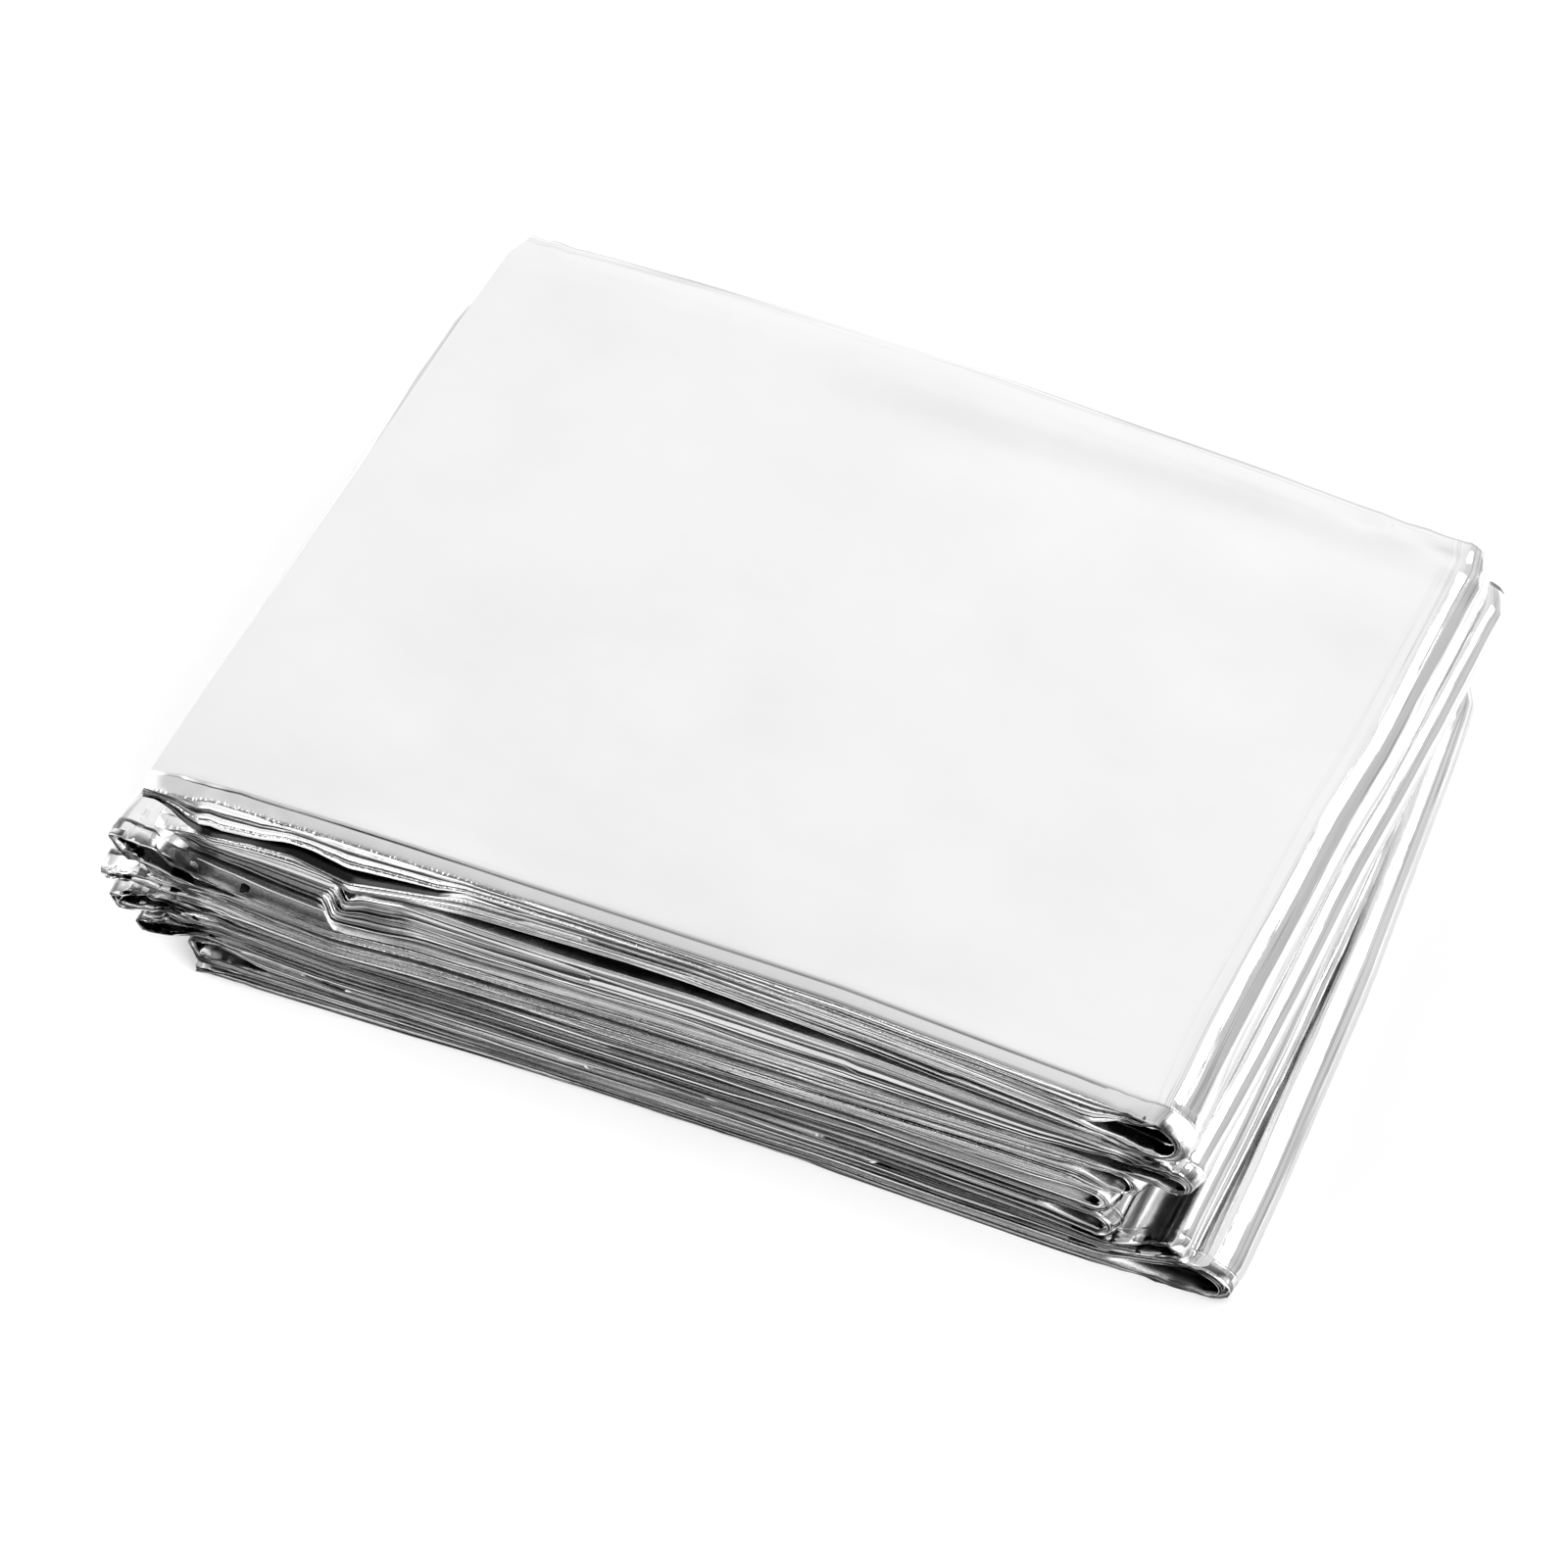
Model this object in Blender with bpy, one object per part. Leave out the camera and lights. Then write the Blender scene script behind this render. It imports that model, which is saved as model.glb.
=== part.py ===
"""Emergency foil blanket, folded to a packet.

One metallised film sheet, pleated lengthwise into a narrow strip, and the
strip folded back and forth into a stack of panels that lies flat on a table.
The solid here is that back-and-forth section: every panel of the stack is one
bundle of pleats, and each panel runs on into the next round a fold, left and
right in turn, so the whole thing is one closed solid.

Frame: +X along the long front edge, +Y from the front to the back, +Z up.
The origin is under the middle of the packet, on the surface it lies on.
Sizes are in millimetres and are turned into metres when the mesh is made.
"""
import math

import bmesh
import bpy
from mathutils import Vector

MM = 0.001

# ---- driving dimensions (mm) ------------------------------------------------
PANELS = 14              # bundles in the stack, counted from the top
LEVEL_HALF = 15.0        # each panel is level this far either side of x = 0
END_SPAN = 58.0          # |x| at which the left and right columns are given
NY = 8                   # mesh steps from front to back
NX = 9                   # mesh steps along a panel
NA = 6                   # mesh steps round a fold
CROWN = 0.55             # the top of the stack is this much higher mid-depth
WAVE = 0.22              # slow unevenness of the upper panels
WAVE_LENGTH = 61.0       # length of that unevenness along x
CORNER = 1.2             # a fold draws back this much at its two corners
CORNER_DEPTH = 0.08      # over this part of the depth
OVERHANG_X = 56.0        # the left folds hang a little past this |x|
OVERHANG_RUN = 6.0       # and reach their full droop this much further on
KINK_X = (-43.0, -34.0)  # where the two pushed-in bundles step forward again

# One row for each panel, from the top of the stack down. Heights are of the
# panel's middle surface at its left end, level part and right end, and droop
# is how far its left overhang sinks. yf and yb are the front and back edges,
# at the left end and at the right end. A panel lies at least 0.3 mm clear of
# the next one.
PANEL_COLUMNS = ("t", "z_left", "z_level", "z_right", "droop",
                 "yf_left", "yf_right", "yb_left", "yb_right")
PANEL_ROWS = (
    # t   z_left z_level z_right droop yf_left yf_right yb_left yb_right
    (2.6, 24.30, 27.95, 25.60, 0.2, -45.0, -44.9, 45.2, 42.0),   # top panel
    (1.5, 19.35, 23.95, 21.85, 0.3, -42.7, -45.0, 45.6, 43.0),   # pushed in
    (1.2, 17.00, 19.80, 20.10, 0.3, -42.4, -45.2, 45.0, 43.6),   # pushed in
    (1.1, 15.35, 18.10, 18.40, 0.5, -44.6, -44.8, 44.2, 44.0),
    (1.1, 13.87, 16.40, 16.00, 0.6, -45.2, -44.2, 43.8, 44.6),
    (1.1, 12.38, 14.70, 14.50, 0.7, -45.4, -44.0, 44.4, 45.0),
    (1.1, 10.90, 13.00, 13.00, 0.8, -45.0, -44.2, 45.0, 44.4),
    (1.1,  9.42, 11.35, 11.50, 0.9, -45.3, -44.4, 45.4, 44.2),
    (1.1,  7.93,  9.65, 10.00, 1.0, -45.6, -44.0, 45.8, 44.6),
    (1.1,  6.35,  7.85,  8.50, 1.1, -45.4, -43.8, 46.2, 45.2),
    (1.1,  4.90,  6.00,  7.00, 1.2, -45.6, -43.8, 45.6, 45.4),
    (1.1,  3.45,  4.15,  5.50, 0.0, -45.8, -43.6, 45.0, 45.2),
    (1.1,  2.00,  2.35,  4.00, 0.0, -46.33, -43.2, 44.6, 45.4),
    (1.1,  0.55,  0.55,  0.55, 0.0, -46.0, -43.0, 44.8, 46.0),   # on the table
)
PUSHED_IN = (1, 2)

# One row for each end of a panel, from the top down: the outermost x of the
# fold at the front and at the back. The first and the last are the strip's
# two free ends, both at the left.
FOLD_COLUMNS = ("side", "x_front", "x_back")
FOLD_ROWS = (
    ("left",  -57.5, -57.4),    # free end of the top panel
    ("right",  58.4,  57.4),
    ("left",  -57.7, -58.6),
    ("right",  59.8,  58.8),
    ("left",  -62.2, -63.6),
    ("right",  53.4,  52.6),
    ("left",  -64.2, -61.8),
    ("right",  50.4,  51.6),
    ("left",  -62.8, -60.2),
    ("right",  50.6,  50.0),
    ("left",  -59.8, -57.2),
    ("right",  58.2,  54.6),
    ("left",  -53.6, -55.2),
    ("right",  64.97,  55.4),
    ("left",  -52.6, -54.0),    # free end of the bottom panel
)

FOIL = {"color": (0.83, 0.84, 0.85, 1.0), "metallic": 1.0, "roughness": 0.22}


def clamp01(value):
    return 0.0 if value < 0.0 else 1.0 if value > 1.0 else value


def panel(index):
    return dict(zip(PANEL_COLUMNS, PANEL_ROWS[index]))


def fold_x(index, v):
    row = dict(zip(FOLD_COLUMNS, FOLD_ROWS[index]))
    return row["x_front"] + (row["x_back"] - row["x_front"]) * v


def ends(index, v):
    """Outermost x of a panel's left and right end at depth v, 0 to 1."""
    a, b = fold_x(index, v), fold_x(index + 1, v)
    return (a, b) if a < b else (b, a)


def height(index, x, v):
    """Middle surface of a panel: level in the middle, drawn to its ends."""
    row = panel(index)
    z = row["z_level"]
    u = max(0.0, (abs(x) - LEVEL_HALF) / (END_SPAN - LEVEL_HALF))
    z += (row["z_left" if x < 0 else "z_right"] - z) * u * u
    over = max(0.0, (-x - OVERHANG_X) / OVERHANG_RUN)
    z -= row["droop"] * over ** 1.5
    lift = (row["z_level"] / PANEL_ROWS[0][2]) ** 3
    middle = clamp01(1.0 - abs(x) / 50.0)
    z += CROWN * lift * middle * (1.0 - (2.0 * v - 1.0) ** 2)
    z += WAVE * lift * middle * math.sin(2 * math.pi * x / WAVE_LENGTH + 2.2 * v)
    return z


def depth(index, x, v):
    """y of a panel at depth v, from its front and back edges."""
    row = panel(index)
    side = clamp01((x + END_SPAN) / (2 * END_SPAN))
    back = row["yb_left"] + (row["yb_right"] - row["yb_left"]) * side
    if index in PUSHED_IN:
        side = clamp01((x - KINK_X[0]) / (KINK_X[1] - KINK_X[0]))
        side = side * side * (3.0 - 2.0 * side)
    front = row["yf_left"] + (row["yf_right"] - row["yf_left"]) * side
    return front + (back - front) * v


def fold_arc(index, v):
    """Half circle that joins a panel to the next one: its centre, radius and
    tilt, and the direction in which it bulges. The tilt follows the slope of
    the two panels where they meet it."""
    t = 0.5 * (panel(index)["t"] + panel(index + 1)["t"])
    tip = fold_x(index + 1, v)
    sign = 1.0 if tip > 0 else -1.0
    x = tip - sign * 2.0
    for _ in range(4):
        above, below = height(index, x, v), height(index + 1, x, v)
        x = tip - sign * 0.5 * (above - below + t)
    centre_z = 0.5 * (above + below)
    step = 0.5
    slope = (height(index, x, v) + height(index + 1, x, v)
             - height(index, x - step, v) - height(index + 1, x - step, v))
    tilt = math.atan2(0.5 * slope, step)
    radius = 0.5 * (above - below) * math.cos(tilt)
    return x, centre_z, radius, tilt, sign


def section(v):
    """The strip's middle line at depth v, as (x, y, z, thickness) points."""
    points = []
    arcs = [fold_arc(k, v) for k in range(PANELS - 1)]
    for k in range(PANELS):
        t = panel(k)["t"]
        sign = 1.0 if k % 2 == 0 else -1.0      # the top panel runs rightward
        start = fold_x(k, v)
        stop = fold_x(k + 1, v)
        if k > 0:
            x, _, radius, tilt, _ = arcs[k - 1]
            start = x + radius * math.sin(tilt)
        if k < PANELS - 1:
            x, _, radius, tilt, _ = arcs[k]
            stop = x - radius * math.sin(tilt)
        for i in range(NX + 1):
            along = i / NX
            # shorter steps towards the folds
            along -= 0.06 * math.sin(2 * math.pi * along)
            x = start + (stop - start) * along
            points.append((x, depth(k, x, v), height(k, x, v), t))
        if k < PANELS - 1:
            t_next = panel(k + 1)["t"]
            cx, cz, radius, tilt, bulge = arcs[k]
            y_top, y_low = depth(k, cx, v), depth(k + 1, cx, v)
            for i in range(1, NA):
                angle = math.pi * i / NA
                part = 0.5 * (1.0 - math.cos(angle))
                up = radius * math.cos(angle)
                out = bulge * radius * math.sin(angle)
                x = cx + out * math.cos(tilt) - up * math.sin(tilt)
                z = cz + out * math.sin(tilt) + up * math.cos(tilt)
                points.append((x, y_top + (y_low - y_top) * part, z,
                               t + (t_next - t) * part))
    return points


def corner_pull(v):
    """The front and back edges of a fold are rounded off in plan."""
    edge = min(v, 1.0 - v)
    return CORNER * max(0.0, 1.0 - edge / CORNER_DEPTH) ** 2


def ribbon(v):
    """Both faces of the strip at depth v: pairs of points, upper and lower
    where the strip runs to the right."""
    line = section(v)
    pairs = []
    for i, (x, y, z, t) in enumerate(line):
        before = line[max(i - 1, 0)]
        after = line[min(i + 1, len(line) - 1)]
        run = Vector((after[0] - before[0], after[2] - before[2])).normalized()
        nx, nz = -run.y * 0.5 * t, run.x * 0.5 * t
        pull = corner_pull(v) * clamp01((abs(x) - 48.0) / 8.0)
        x -= math.copysign(pull, x)
        pairs.append((Vector((x + nx, y, z + nz)), Vector((x - nx, y, z - nz))))
    return pairs


def build_blanket():
    bm = bmesh.new()
    rows = []
    for j in range(NY + 1):
        v = j / NY
        # the first and last steps are short, for the rounded corners
        v = v + 0.045 * math.sin(2 * math.pi * v)
        row = []
        for a, b in ribbon(v):
            for p in (a, b):
                # the table is flat: nothing goes below it, and the bottom
                # panel's lower face stays on it
                if p.z < 0.02:
                    p.z = 0.0
            row.append((bm.verts.new(a * MM), bm.verts.new(b * MM)))
        rows.append(row)
    count = len(rows[0])
    for j in range(NY):
        here, there = rows[j], rows[j + 1]
        for i in range(count - 1):
            (a0, b0), (a1, b1) = here[i], here[i + 1]
            (c0, d0), (c1, d1) = there[i], there[i + 1]
            bm.faces.new((a0, a1, c1, c0))
            bm.faces.new((b0, d0, d1, b1))
        for i, flip in ((0, False), (count - 1, True)):
            (a, b), (c, d) = here[i], there[i]
            bm.faces.new((a, b, d, c) if flip else (a, c, d, b))
    for row, flip in ((rows[0], False), (rows[-1], True)):
        for i in range(count - 1):
            (a0, b0), (a1, b1) = row[i], row[i + 1]
            bm.faces.new((a0, a1, b1, b0) if flip else (a0, b0, b1, a1))
    bmesh.ops.recalc_face_normals(bm, faces=bm.faces)
    bmesh.ops.triangulate(bm, faces=bm.faces)
    mesh = bpy.data.meshes.new("foil_blanket")
    bm.to_mesh(mesh)
    bm.free()
    mesh.shade_smooth()
    mesh.set_sharp_from_angle(angle=math.radians(40))
    obj = bpy.data.objects.new("foil_blanket", mesh)
    bpy.context.collection.objects.link(obj)
    return obj


def foil_material():
    material = bpy.data.materials.new("metallised_film")
    material.use_nodes = True
    shader = material.node_tree.nodes["Principled BSDF"]
    shader.inputs["Base Color"].default_value = FOIL["color"]
    shader.inputs["Metallic"].default_value = FOIL["metallic"]
    shader.inputs["Roughness"].default_value = FOIL["roughness"]
    return material


def main():
    for obj in list(bpy.data.objects):
        bpy.data.objects.remove(obj, do_unlink=True)
    blanket = build_blanket()
    blanket.data.materials.append(foil_material())


main()
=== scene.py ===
import math

import bpy
import numpy as np
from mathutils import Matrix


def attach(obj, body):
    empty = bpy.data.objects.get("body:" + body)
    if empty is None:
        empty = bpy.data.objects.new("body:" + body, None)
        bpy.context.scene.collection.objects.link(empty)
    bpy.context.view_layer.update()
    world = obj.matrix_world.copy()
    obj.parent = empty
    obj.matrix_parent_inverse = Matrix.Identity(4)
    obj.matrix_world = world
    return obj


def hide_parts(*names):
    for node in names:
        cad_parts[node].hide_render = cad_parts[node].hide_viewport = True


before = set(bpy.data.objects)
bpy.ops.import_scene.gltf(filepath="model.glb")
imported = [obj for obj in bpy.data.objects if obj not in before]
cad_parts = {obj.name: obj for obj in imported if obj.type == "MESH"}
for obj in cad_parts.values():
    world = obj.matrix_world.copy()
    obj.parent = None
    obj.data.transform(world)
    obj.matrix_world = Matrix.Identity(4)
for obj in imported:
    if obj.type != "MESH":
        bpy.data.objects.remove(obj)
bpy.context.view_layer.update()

# =============================================================================
# Emergency foil blanket, folded. One sheet of metallised film is pleated
# across its width into a strip, and the strip is folded back and forth into a
# stack of panels. Sizes are in millimetres; MM turns them into metres.
# Panels are counted from the top. In even panels the strip runs rightward.
# =============================================================================
MM = 0.001
PANELS = 14
LAYERS = 24                  # pleats across the strip
FREE_EDGE = 1.7              # the sheet's two free edges stop this far in
EDGE_LINE = 1.62             # the row under a free edge, where a shadow line is painted
FOLD_GAP = 0.10              # air between two panels that lie on each other

# ---- height of each panel's top along the front, as x: z --------------------
TOP_FRONT = (
    {-58: 26.7, -55.5: 27.1, -50: 27.5, -44: 27.8, -35: 28.2, -20: 28.55,
     0: 28.8, 20: 28.95, 32: 28.35, 44: 27.6, 55: 26.95, 60: 26.5},
    {-60: 19.4, -57: 19.7, -50: 20.4, -46: 21.6, -41: 22.2, -34.6: 20.8,
     -29.5: 22.1, -22: 23.9, -8: 24.7, 4: 25.1, 24: 24.5, 36: 23.7, 46: 22.8,
     50.9: 21.8, 55: 21.5, 60: 21.1},
    {-60: 18.3, -57: 18.2, -52: 17.6, -44: 17.7, -38: 17.7, -35.6: 18.0,
     -33.4: 19.6, -28.6: 20.9, -20: 20.9, -8: 21.15, 4: 21.7, 24: 21.6, 36: 21.0,
     46: 20.5, 55: 19.9, 60: 19.4},
    {-64: 16.9, -62: 16.9, -60: 16.7, -58: 16.4, -56: 15.6, -50: 14.6,
     -44: 13.9, -37: 13.4,
     -28: 14.8, -20: 15.0, -8: 15.8, 4: 16.4, 24: 16.9, 44.5: 17.3,
     49.4: 17.3, 53: 17.1, 58: 16.5, 61: 16.2},
    {-64: 15.4, -61.5: 15.0, -58: 14.0, -50: 13.2, -44: 12.6, -37: 12.2, -28: 13.4,
     -20: 13.8, 0: 14.8, 24: 15.4, 46: 16.1, 51: 16.2, 54: 16.0},
    {-64: 11.1, -62: 11.5, -60: 12.5, -56: 12.2, -50: 12.0, -44: 11.5,
     -37: 11.1, -28: 12.1, -20: 12.5, 0: 13.3, 24: 13.9, 46: 14.4, 50: 13.6,
     54: 13.4},
    {-64: 10.3, -60: 10.9, -50: 10.8, -37: 10.0, -28: 10.8, -20: 11.2,
     0: 11.9, 24: 12.3, 45: 12.2, 51: 11.8},
    {-63: 7.5, -60.5: 8.4, -56.6: 9.0, -50: 9.5, -37: 8.9, -28: 9.5,
     -20: 9.9, 0: 10.5, 24: 10.7, 45: 10.3, 51: 9.8},
    {-63: 6.3, -60: 6.8, -56: 7.8, -50: 8.4, -37: 7.7, -20: 8.5, 0: 9.0,
     24: 9.2, 45: 8.8, 51: 8.2},
    {-60: 5.2, -56: 6.4, -53: 7.1, -50: 7.3, -37: 6.7, -20: 7.2, 0: 7.4,
     24: 7.5, 43: 7.0, 47: 6.2, 51: 5.6},
    {-60: 4.1, -55.7: 4.4, -53: 5.9, -50: 6.2, -37: 5.5, -20: 5.8, 0: 5.9,
     24: 5.9, 42: 5.2, 50: 4.4, 55.8: 7.4, 58: 7.2, 60: 6.8},
    {-54: 4.5, -52: 5.1, -50: 5.2, -44: 4.9, -37: 4.3, -20: 4.4, 0: 4.5,
     24: 4.4, 42: 3.9, 50: 3.3, 54: 4.4, 58: 5.6, 60: 5.6},
    {-54: 3.2, -52: 3.5, -50: 3.6, -44: 3.3, -20: 2.9, 0: 3.0, 24: 2.9,
     42: 2.7, 50: 2.6, 55: 4.0, 57.5: 4.7, 60: 4.5, 62: 4.2, 65: 4.0},
    {-54: 1.5, -50: 1.8, -37: 1.6, 0: 1.5, 24: 1.5, 42: 1.4, 50: 1.3,
     60: 1.2, 65: 1.2},
)

# ---- tops along the back: left end, level part and right end ----------------
TOP_BACK_COLUMNS = ("z_left", "z_level", "z_right")
TOP_BACK = (
    (25.50, 28.55, 26.70), (20.60, 25.60, 22.30), (18.40, 22.70, 20.50),
    (16.50, 20.30, 18.40), (14.60, 17.80, 16.30), (12.90, 15.60, 14.90),
    (11.20, 13.50, 13.30), (9.80, 11.60, 11.80), (8.30, 9.90, 10.30),
    (6.80, 8.30, 8.90), (5.30, 6.70, 7.50), (3.90, 5.00, 5.90),
    (2.60, 3.40, 3.90), (1.30, 1.60, 1.30),
)

# ---- thickest a panel may be: at its left end, in the middle, at its right --
THICK_COLUMNS = ("t_left", "t_middle", "t_right")
THICK = (
    (2.4, 8.0, 2.4), (1.2, 4.6, 1.9), (1.5, 6.0, 1.8), (0.8, 3.4, 1.3),
    (1.0, 3.0, 0.9), (0.9, 3.0, 1.3), (0.9, 3.0, 1.0), (0.8, 3.0, 1.1),
    (0.9, 3.0, 1.0), (0.7, 3.0, 1.0), (0.8, 3.0, 0.8), (0.9, 3.0, 0.8),
    (0.9, 3.0, 1.1), (9.0, 9.0, 9.0),
)

# ---- openings between a panel and the next: lenses that close deeper in, and
# ---- mouths, which run the whole way along a fold ---------------------------
LENS_COLUMNS = ("above", "shape", "reach")
LENSES = (
    (1, {-56: 0.0, -52: 1.6, -44: 2.0, -38: 2.1, -35: 0.6, -33: 0.0}, 3.0),
    (1, {-28.6: 0.0, -20.7: 1.1, -9: 1.6, -4.6: 1.5, 3.2: 1.2, 15: 0.8,
         24: 0.45, 32: 0.0}, 16.0),
    (2, {-30: 0.0, -26: 0.35, -14: 0.3, -8: 0.0}, 6.0),
)
MOUTHS = (
    (0, {47.5: 0.0, 50.9: 1.5, 52.3: 2.3, 55: 2.9, 60: 3.0}),
    (2, {42: 0.0, 45: 0.5, 49.4: 1.1, 55: 1.3, 60: 1.2}),
    (4, {44: 0.0, 48: 0.9, 51: 1.5, 54: 1.4}),
    (6, {41: 0.0, 46: 0.5, 51: 0.7}),
    (8, {42: 0.0, 46: 1.2, 48: 1.5, 51: 1.2}),
    (10, {49: 0.0, 53: 1.2, 55.8: 1.7, 58: 0.9, 60: 0.6}),
    (12, {50: 0.0, 56: 0.9, 59: 2.1, 62: 2.3, 65: 2.2}),
    (1, {-60: 0.35, -54: 0.25, -50: 0.0}),
    (3, {-64: 1.0, -61: 1.5, -56: 1.2, -50: 0.5, -45: 0.0}),
    (5, {-64: 0.4, -60: 0.8, -55: 0.4, -50: 0.0}),
    (7, {-63: 1.5, -60.5: 2.0, -57: 1.3, -53: 0.3, -51: 0.0}),
    (9, {-60: 0.8, -58: 1.8, -56: 2.3, -53.5: 1.4, -51: 0.0}),
    (11, {-55: 1.2, -52: 1.7, -49: 0.9, -45: 0.0}),
)

# the top panel opens between its own pleats on the left, as x: height
SPLIT_TOP = {-58: 0.4, -56.5: 0.7, -55: 1.1, -52.4: 1.7, -50: 1.7, -47.5: 1.2,
             -45: 1.2, -42: 1.7, -38.5: 2.5, -35.5: 2.4, -32: 1.9, -29.5: 1.5,
             -25: 1.0, -21: 0.0}
SPLIT_AT = 14                # the layer under which it opens

# ---- front and back edge of each panel, as x: y -----------------------------
EDGE_FRONT = (
    {-58: -45.1, -50: -44.9, 0: -44.9, 50: -44.9, 60: -44.6},
    {-58: -44.5, -50: -44.3, -40: -44.5, -36: -44.3, -34.6: -44.9,
     0: -44.9, 60: -44.6},
    {-58: -43.9, -53: -42.7, -46: -42.4, -36.8: -42.4, -34.9: -44.6,
     -30: -44.9, 50: -44.9, 60: -44.7},
    {-63: -44.9, -50: -45.0, 0: -44.9, 60: -44.7},
    {-63: -44.9, 0: -44.7, 54: -44.2},
    {-64: -45.2, 0: -44.8, 54: -44.2},
    {-64: -45.1, 0: -44.7, 52: -44.0},
    {-63: -45.3, 0: -44.9, 52: -44.2},
    {-63: -45.5, 0: -44.8, 52: -44.1},
    {-60: -45.6, 0: -44.7, 52: -44.0},
    {-60: -45.7, 0: -44.6, 50: -43.9, 58: -43.7},
    {-54: -45.8, 0: -44.3, 50: -43.7, 58: -43.6},
    {-54: -46.0, -20: -44.6, 14: -43.8, 45: -43.8, 64: -43.2},
    {-54: -46.0, -40: -45.2, -20: -44.4, 14: -43.6, 45: -43.8, 64: -43.1},
)
EDGE_BACK_COLUMNS = ("y_left", "y_right")
EDGE_BACK = (
    (45.2, 42.0), (45.6, 43.0), (45.0, 43.6), (44.2, 44.0), (43.8, 44.6),
    (44.4, 45.0), (45.0, 44.4), (45.4, 44.2), (45.8, 44.6), (46.0, 45.2),
    (45.6, 45.4), (45.0, 45.2), (44.6, 45.4), (44.8, 45.8),
)

# ---- outermost x of each fold, at the front, the middle and the back --------
FOLD_COLUMNS = ("x_front", "x_middle", "x_back", "roundness")
FOLDS = (
    (-57.5, -57.6, -57.4, 1.0),      # free end of the top panel
    (58.5, 58.1, 57.9, 1.0),
    (-57.7, -58.2, -58.6, 1.0),
    (59.8, 59.4, 59.5, 1.1),
    (-62.3, -62.9, -63.6, 1.1),
    (53.4, 53.4, 52.6, 1.0),
    (-63.8, -62.9, -61.8, 1.2),
    (50.4, 51.2, 51.6, 1.0),
    (-62.8, -61.6, -60.2, 1.0),
    (50.6, 50.6, 50.0, 1.0),
    (-59.8, -58.6, -57.2, 1.0),
    (58.5, 56.6, 54.6, 1.1),
    (-53.6, -54.6, -55.2, 1.0),
    (63.6, 60.9, 56.3, 1.5),
    (-52.6, -53.2, -54.0, 1.0),      # free end of the bottom panel
)

# ---- how each panel's pleats lie along the front ----------------------------
# uneven: how much the visible folds differ in height; inset: how far some are
# pushed in; lean: how far a fold's crease sits from the middle of its height;
# reach: how far it stands out for its height; round: 0 a sharp crease, 1 a
# soft one; sparkle: fine crimping; broad: one or two tall smooth folds.
# bias: whether the creases lie high (below 0) or low (above 0) on their folds
BIAS = (1.0, 0.9, 0.8, 0.9, 0.9, 0.9, 0.9, 1.0, 1.0, 1.0, 1.0, 1.0, 0.8, 0.6)
PLEAT_COLUMNS = ("uneven", "inset", "lean", "reach", "round", "sparkle", "broad")
PLEATS = (
    (0.45, 0.20, 0.36, 0.85, 0.35, 1.0, 0),
    (0.75, 0.28, 0.34, 0.75, 0.45, 0.35, 0),
    (0.85, 0.30, 0.34, 0.80, 0.50, 0.20, 0),
    (0.60, 0.18, 0.36, 0.75, 0.35, 0.8, 0),
    (0.55, 0.18, 0.36, 0.75, 0.35, 0.9, 0),
    (0.55, 0.18, 0.34, 0.80, 0.35, 1.0, 0),
    (0.80, 0.22, 0.32, 0.80, 0.45, 0.8, 0),
    (1.20, 0.32, 0.30, 1.3, 0.50, 0.10, 1),
    (1.25, 0.32, 0.30, 1.3, 0.50, 0.05, 2),
    (1.20, 0.30, 0.30, 1.3, 0.50, 0.05, 1),
    (1.25, 0.30, 0.30, 1.3, 0.50, 0.05, 2),
    (1.20, 0.30, 0.30, 1.3, 0.50, 0.10, 1),
    (0.90, 0.26, 0.28, 1.1, 0.60, 0.5, 0),
    (0.80, 0.26, 0.30, 1.1, 0.50, 0.6, 0),
)


# =============================================================================
# helpers
# =============================================================================
def curve(table, x, soft=1.2):
    """A table of x: value read along x, with its corners rounded off."""
    keys = np.array(sorted(table), float)
    values = np.array([table[k] for k in sorted(table)], float)
    total = 0.0
    for d, w in ((-1.0, 1), (-0.5, 2), (0.0, 2), (0.5, 2), (1.0, 1)):
        total = total + w * np.interp(x + d * soft, keys, values)
    return total / 8.0


def smooth(t):
    t = np.clip(t, 0.0, 1.0)
    return t * t * (3.0 - 2.0 * t)


GRID = np.random.RandomState(7).rand(256, 256) * 2.0 - 1.0


def noise1(x, seed):
    """Smooth noise along x, -1 to 1."""
    x = np.asarray(x, float) + 1000.0
    i = np.floor(x).astype(int)
    f = x - i
    f = f * f * (3 - 2 * f)
    row = np.asarray(seed, int) % 256
    return GRID[row, i % 256] * (1 - f) + GRID[row, (i + 1) % 256] * f


def steps1(x, seed, sharp=18.0):
    """Noise along x that stays level and then changes over a short way."""
    x = np.asarray(x, float) + 1000.0
    i = np.floor(x).astype(int)
    f = np.clip((x - i - 0.5) * sharp + 0.5, 0.0, 1.0)
    f = f * f * (3 - 2 * f)
    row = np.asarray(seed, int) % 256
    return GRID[row, i % 256] * (1 - f) + GRID[row, (i + 1) % 256] * f


def noise2(x, y, seed=0):
    """Smooth noise over x and y, -1 to 1."""
    x = np.asarray(x, float) + 1000.0 + 37.0 * seed
    y = np.asarray(y, float) + 1000.0 + 91.0 * seed
    i, j = np.floor(x).astype(int), np.floor(y).astype(int)
    f, g = x - i, y - j
    f, g = f * f * (3 - 2 * f), g * g * (3 - 2 * g)
    a = GRID[i % 256, j % 256] * (1 - f) + GRID[(i + 1) % 256, j % 256] * f
    b = (GRID[i % 256, (j + 1) % 256] * (1 - f)
         + GRID[(i + 1) % 256, (j + 1) % 256] * f)
    return a * (1 - g) + b * g


def crease2(x, y, seed=0):
    """Sharp-edged noise, 0 to 1, with ridges where film is crushed."""
    return 1.0 - np.abs(noise2(x, y, seed))


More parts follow.
